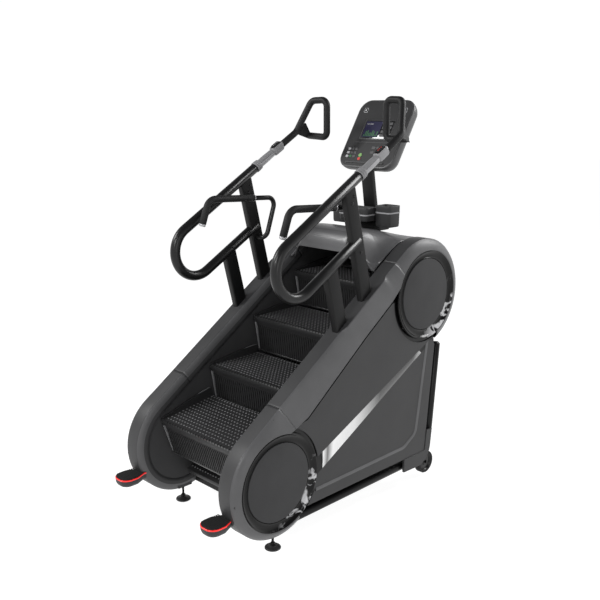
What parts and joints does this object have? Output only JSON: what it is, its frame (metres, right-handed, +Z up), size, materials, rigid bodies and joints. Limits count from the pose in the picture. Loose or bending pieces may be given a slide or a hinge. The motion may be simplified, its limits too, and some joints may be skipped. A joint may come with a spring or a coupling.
{
  "type": "stair climber",
  "caption": "Revolving-stair exercise machine: moving steps between two slanted covers, bent handrails with grips, a console on a mast, step-up pedals, levelling feet and transport wheels.",
  "frame": {"origin": "on the floor under the middle of the machine's box", "axes": "+X is the user's right, +Y the way the user faces while climbing, +Z up"},
  "size_m": [0.84, 1.706, 2.0527],
  "materials": {
    "graphite_cover": "satin, fine texture",
    "dark_panel": "satin",
    "dark_disc": "matte disc in a glossy ring",
    "black_tube": "black powder coat, semi-gloss",
    "black_steel": "black powder coat",
    "black_grip": "matte moulded rubber",
    "foam_grip": "matte foam",
    "pulse_metal": "satin contact plates",
    "switch_metal": "silver satin",
    "button_panel": "smooth key",
    "button_red": "smooth key",
    "button_green": "smooth key",
    "pedal_plastic": "textured tread",
    "chain_steel": "oiled",
    "bare_steel": "machined",
    "wheel_plastic": "grey rubber tread",
    "foot_rubber": "moulded",
    "step_plastic": "moulded, dimpled tread",
    "belt_rubber": "ribbed belt",
    "black_plastic": "fine texture",
    "hood_grey": "satin",
    "console_shell": "satin",
    "console_face": "dark overlay"
  },
  "bodies": {
    "machine": {"right_band_cover": "graphite_cover", "right_side_panel": "dark_panel", "right_corner_cover": "graphite_cover", "right_lower_disc": "dark_disc", "right_upper_disc": "dark_disc", "right_handrail": "black_tube", "right_upper_grip": "black_grip", "right_pulse_grip": "pulse_metal", "right_switch_housing": "switch_metal", "right_inner_grip": "foam_grip", "right_pedal": "pedal_plastic", "right_incline_plate": "black_steel", "right_chain": "chain_steel", "left_band_cover": "graphite_cover", "left_side_panel": "dark_panel", "left_corner_cover": "graphite_cover", "left_lower_disc": "dark_disc", "left_upper_disc": "dark_disc", "left_handrail": "black_tube", "left_upper_grip": "black_grip", "left_pulse_grip": "pulse_metal", "left_switch_housing": "switch_metal", "left_inner_grip": "foam_grip", "left_pedal": "pedal_plastic", "left_incline_plate": "black_steel", "left_chain": "chain_steel", "base_frame": "black_tube", "alternator": "bare_steel", "drive_belt": "belt_rubber", "control_box": "black_plastic", "hood": "hood_grey", "front_cover": "graphite_cover", "mast_bridge": "black_steel", "console_mast": "black_steel", "accessory_tray": "black_plastic", "console_housing": "console_shell", "console_face": "console_face"},
    "drive_shaft": {"drive_shaft": "bare_steel"},
    "idler_shaft": {"idler_shaft": "bare_steel"},
    "alternator_pulley": {"alternator_pulley": "bare_steel"},
    "step_1": {"step_1": "step_plastic"},
    "step_2": {"step_2": "step_plastic"},
    "step_3": {"step_3": "step_plastic"},
    "step_4": {"step_4": "step_plastic"},
    "step_5": {"step_5": "step_plastic"},
    "step_6": {"step_6": "step_plastic"},
    "step_7": {"step_7": "step_plastic"},
    "step_8": {"step_8": "step_plastic"},
    "step_9": {"step_9": "step_plastic"},
    "left_rear_foot": {"left_rear_foot": "foot_rubber"},
    "right_rear_foot": {"right_rear_foot": "foot_rubber"},
    "left_front_foot": {"left_front_foot": "foot_rubber"},
    "right_front_foot": {"right_front_foot": "foot_rubber"},
    "right_wheel": {"right_transport_wheel": "wheel_plastic"},
    "right_switch_button": {"right_switch_button": "button_red"},
    "left_wheel": {"left_transport_wheel": "wheel_plastic"},
    "left_switch_button": {"left_switch_button": "button_panel"},
    "start_key": {"start_key": "button_green"},
    "stop_key": {"stop_key": "button_red"}
  },
  "joints": [
    {"name": "drive_shaft_turn", "type": "hinge", "parent": "machine", "child": "drive_shaft", "pos_m": [0, 0.568, 1.058], "axis": [1, 0, 0], "range_deg": [0, 45]},
    {"name": "idler_shaft_turn", "type": "hinge", "parent": "machine", "child": "idler_shaft", "pos_m": [0, -0.481, 0.358], "axis": [1, 0, 0], "range_deg": [-0.2, 45.2]},
    {"name": "alternator_turn", "type": "hinge", "parent": "machine", "child": "alternator_pulley", "pos_m": [0, 0.52, 0.47], "axis": [1, 0, 0], "range_deg": [-1, 203]},
    {"name": "step_1_travel", "type": "hinge", "parent": "machine", "child": "step_1", "pos_m": [0, -0.481, 0.358], "axis": [1, 0, 0], "range_deg": [-0.2, 45.2]},
    {"name": "step_2_travel", "type": "slide", "parent": "machine", "child": "step_2", "axis": [0, -0.8318, -0.5551], "range_m": [-0.0005, 0.09666]},
    {"name": "step_3_travel", "type": "slide", "parent": "machine", "child": "step_3", "axis": [0, -0.8318, -0.5551], "range_m": [-0.0005, 0.09666]},
    {"name": "step_4_travel", "type": "slide", "parent": "machine", "child": "step_4", "axis": [0, -0.8318, -0.5551], "range_m": [-0.0005, 0.09666]},
    {"name": "step_5_travel", "type": "hinge", "parent": "machine", "child": "step_5", "pos_m": [0, 0.568, 1.058], "axis": [1, 0, 0], "range_deg": [-0.2, 45.2]},
    {"name": "step_6_travel", "type": "slide", "parent": "machine", "child": "step_6", "axis": [0, 0.8318, 0.5551], "range_m": [-0.0005, 0.09666]},
    {"name": "step_7_travel", "type": "slide", "parent": "machine", "child": "step_7", "axis": [0, 0.8318, 0.5551], "range_m": [-0.0005, 0.09666]},
    {"name": "step_8_travel", "type": "slide", "parent": "machine", "child": "step_8", "axis": [0, 0.8318, 0.5551], "range_m": [-0.0005, 0.09666]},
    {"name": "step_9_travel", "type": "slide", "parent": "machine", "child": "step_9", "axis": [0, 0.8318, 0.5551], "range_m": [-0.0005, 0.09666]},
    {"name": "left_rear_foot_level", "type": "slide", "parent": "machine", "child": "left_rear_foot", "axis": [0, 0, -1], "range_m": [0, 0.02]},
    {"name": "right_rear_foot_level", "type": "slide", "parent": "machine", "child": "right_rear_foot", "axis": [0, 0, -1], "range_m": [0, 0.02]},
    {"name": "left_front_foot_level", "type": "slide", "parent": "machine", "child": "left_front_foot", "axis": [0, 0, -1], "range_m": [0, 0.02]},
    {"name": "right_front_foot_level", "type": "slide", "parent": "machine", "child": "right_front_foot", "axis": [0, 0, -1], "range_m": [0, 0.02]},
    {"name": "right_wheel_turn", "type": "hinge", "parent": "machine", "child": "right_wheel", "pos_m": [0.368, 0.66, 0.084], "axis": [1, 0, 0], "continuous": true},
    {"name": "right_switch_press", "type": "slide", "parent": "machine", "child": "right_switch_button", "axis": [0, 0.5045, -0.8634], "range_m": [0, 0.0015], "stiffness_N_per_m": 600, "springref_m": -0.001},
    {"name": "left_wheel_turn", "type": "hinge", "parent": "machine", "child": "left_wheel", "pos_m": [-0.368, 0.66, 0.084], "axis": [1, 0, 0], "continuous": true},
    {"name": "left_switch_press", "type": "slide", "parent": "machine", "child": "left_switch_button", "axis": [0, 0.5045, -0.8634], "range_m": [0, 0.0015], "stiffness_N_per_m": 600, "springref_m": -0.001},
    {"name": "start_key_press", "type": "slide", "parent": "machine", "child": "start_key", "axis": [0, 0.8508, -0.5255], "range_m": [0, 0.001], "stiffness_N_per_m": 400, "springref_m": -0.001},
    {"name": "stop_key_press", "type": "slide", "parent": "machine", "child": "stop_key", "axis": [0, 0.8508, -0.5255], "range_m": [0, 0.001], "stiffness_N_per_m": 400, "springref_m": -0.001}
  ],
  "couplings": [
    {"joint": "idler_shaft_turn", "follows": "drive_shaft_turn", "ratio": 1},
    {"joint": "alternator_turn", "follows": "drive_shaft_turn", "ratio": 4.5},
    {"joint": "step_1_travel", "follows": "drive_shaft_turn", "ratio": 1},
    {"joint": "step_2_travel", "follows": "drive_shaft_turn", "m_per_rad": 0.12243},
    {"joint": "step_3_travel", "follows": "drive_shaft_turn", "m_per_rad": 0.12243},
    {"joint": "step_4_travel", "follows": "drive_shaft_turn", "m_per_rad": 0.12243},
    {"joint": "step_5_travel", "follows": "drive_shaft_turn", "ratio": 1},
    {"joint": "step_6_travel", "follows": "drive_shaft_turn", "m_per_rad": 0.12243},
    {"joint": "step_7_travel", "follows": "drive_shaft_turn", "m_per_rad": 0.12243},
    {"joint": "step_8_travel", "follows": "drive_shaft_turn", "m_per_rad": 0.12243},
    {"joint": "step_9_travel", "follows": "drive_shaft_turn", "m_per_rad": 0.12243}
  ]
}
